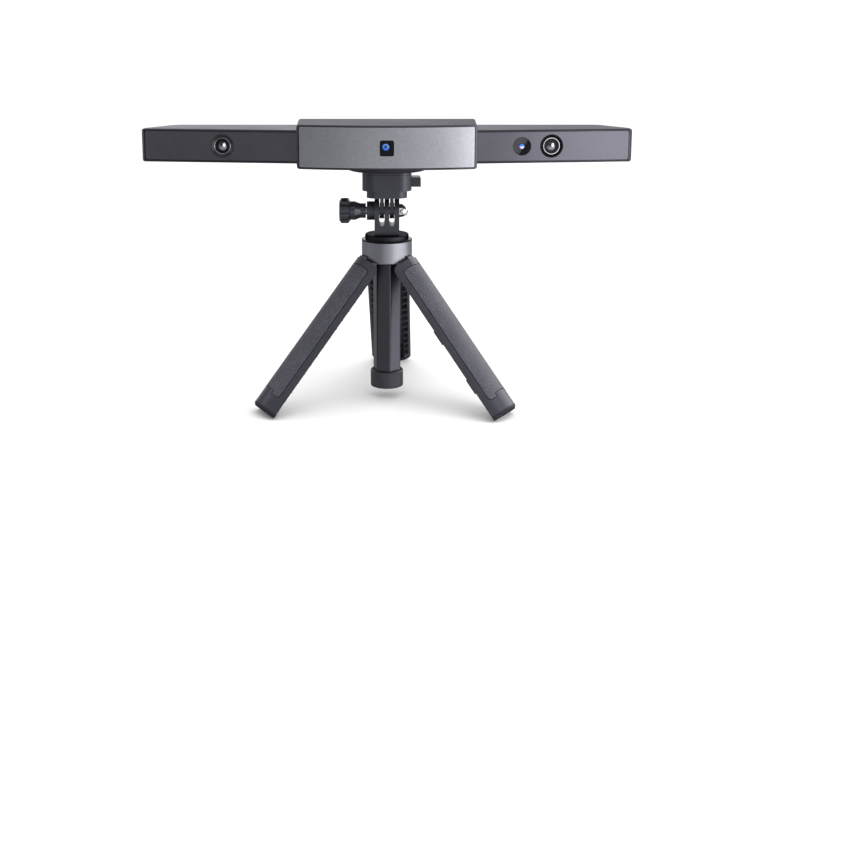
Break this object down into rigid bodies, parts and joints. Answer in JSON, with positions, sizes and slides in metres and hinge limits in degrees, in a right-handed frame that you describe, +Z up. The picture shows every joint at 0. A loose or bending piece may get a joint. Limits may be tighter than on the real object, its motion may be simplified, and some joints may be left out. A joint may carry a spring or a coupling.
{
  "type": "handheld scanner",
  "caption": "Bar-shaped structured-light scanner with a bowed centre block, on a quick-release tilting mount and a folding mini tripod whose legs close into a handle.",
  "frame": {"origin": "centre of the whole object's footprint box on the floor, with the legs spread and the pole down", "axes": "+Z up, +Y from the lenses towards the back of the bar, +X along the bar towards the colour camera's end"},
  "size_m": [0.297, 0.1434, 0.1729],
  "materials": {
    "housing_metal": "bead-blasted, anodised gunmetal",
    "plate_metal": "fine bead-blasted silver",
    "cover_plastic": "fine texture",
    "arm_metal": "bead-blasted, anodised grey",
    "panel_metal": "bead-blasted, anodised grey",
    "black_plastic": "moulded, satin",
    "brass": "turned",
    "rail_metal": "mill finish",
    "steel": "plain",
    "chrome": "polished",
    "light_guide": "frosted",
    "circuit_board": "solder mask",
    "cable_plastic": "film",
    "disc_metal": "anodised black",
    "pole_metal": "anodised dark grey",
    "column_metal": "anodised black",
    "rubber_black": "moulded",
    "collar_metal": "satin anodised grey",
    "button_plastic": "fine texture",
    "black_glass": "polished black",
    "lens_glass": "coated",
    "module_metal": "black anodised",
    "bezel_plastic": "satin black",
    "ring_metal": "turned rim",
    "leg_plastic": "moulded, satin",
    "grip_rubber": "fine leather-like texture"
  },
  "bodies": {
    "stand": {"leg_hub": "black_plastic", "collar_ring": "collar_metal", "hinge_pins": "steel", "column": "column_metal", "column_cap": "rubber_black"},
    "leg_1": {"leg_1_shell": "leg_plastic", "leg_1_grip": "grip_rubber", "leg_1_foot": "rubber_black"},
    "leg_2": {"leg_2_shell": "leg_plastic", "leg_2_grip": "grip_rubber", "leg_2_foot": "rubber_black"},
    "leg_3": {"leg_3_shell": "leg_plastic", "leg_3_grip": "grip_rubber", "leg_3_foot": "rubber_black"},
    "pole_lower": {"pole_middle": "pole_metal"},
    "pole_upper": {"pole_inner": "pole_metal"},
    "head": {"head_disc": "disc_metal", "clevis": "black_plastic", "acorn_nut": "chrome"},
    "thumb": {"thumb_knob": "black_plastic", "thumb_screw": "steel"},
    "scanner": {"housing": "housing_metal", "front_plate": "plate_metal", "rear_cover": "cover_plastic", "left_arm_shell": "arm_metal", "right_arm_shell": "arm_metal", "left_arm_panel": "panel_metal", "right_arm_panel": "panel_metal", "base_pad": "black_plastic", "tripod_insert": "brass", "chassis_rail": "rail_metal", "left_camera_bezel": "bezel_plastic", "left_camera_ring": "ring_metal", "left_camera_lens": "lens_glass", "left_camera_module": "module_metal", "right_camera_bezel": "bezel_plastic", "right_camera_ring": "ring_metal", "right_camera_lens": "lens_glass", "right_camera_module": "module_metal", "colour_camera_window": "black_glass", "colour_camera_lens": "lens_glass", "colour_camera_module": "black_plastic", "projector_window": "black_glass", "projector_lens": "lens_glass", "projector_module": "module_metal", "main_board": "circuit_board", "heat_sink": "rail_metal", "usb_socket": "steel", "status_light": "light_guide", "left_ribbon_cable": "cable_plastic", "right_ribbon_cable": "cable_plastic", "cover_screws": "steel", "board_screws": "steel", "rail_screws": "steel", "adapter_plate": "black_plastic", "mount_screw": "steel", "release_body": "black_plastic", "latch_spring": "steel"},
    "latch": {"release_latch": "black_plastic"},
    "button": {"scan_button": "button_plastic"}
  },
  "joints": [
    {"name": "leg_1_hinge", "type": "hinge", "parent": "stand", "child": "leg_1", "pos_m": [0.00044, -0.00488, 0.0915], "axis": [-0.9993, 0.0384, 0], "range_deg": [0, 40.2]},
    {"name": "leg_2_hinge", "type": "hinge", "parent": "stand", "child": "leg_2", "pos_m": [-0.01017, -0.02173, 0.0915], "axis": [0.4664, -0.8846, 0], "range_deg": [0, 40.2]},
    {"name": "leg_3_hinge", "type": "hinge", "parent": "stand", "child": "leg_3", "pos_m": [0.00973, -0.0225, 0.0915], "axis": [0.5329, 0.8462, 0], "range_deg": [0, 40.2]},
    {"name": "pole_lower_slide", "type": "slide", "parent": "stand", "child": "pole_lower", "axis": [0, 0, 1], "range_m": [0, 0.07]},
    {"name": "pole_upper_slide", "type": "slide", "parent": "pole_lower", "child": "pole_upper", "axis": [0, 0, 1], "range_m": [0, 0.068]},
    {"name": "head_pan", "type": "hinge", "parent": "pole_upper", "child": "head", "pos_m": [0, -0.01637, 0.1012], "axis": [0, 0, 1], "continuous": true},
    {"name": "scanner_tilt", "type": "hinge", "parent": "head", "child": "scanner", "pos_m": [0, -0.01637, 0.1185], "axis": [1, 0, 0], "range_deg": [-75, 75]},
    {"name": "thumb_screw_turn", "type": "hinge", "parent": "head", "child": "thumb", "pos_m": [-0.02, -0.01637, 0.1185], "axis": [1, 0, 0], "range_deg": [0, 360]},
    {"name": "latch_press", "type": "slide", "parent": "scanner", "child": "latch", "axis": [-1, 0, 0], "range_m": [0, 0.002], "stiffness_N_per_m": 400, "springref_m": -0.002, "deforming": ["latch_spring"]},
    {"name": "scan_button_press", "type": "slide", "parent": "scanner", "child": "button", "axis": [0, -1, 0], "range_m": [0, 0.0006], "stiffness_N_per_m": 800, "springref_m": -0.001}
  ]
}
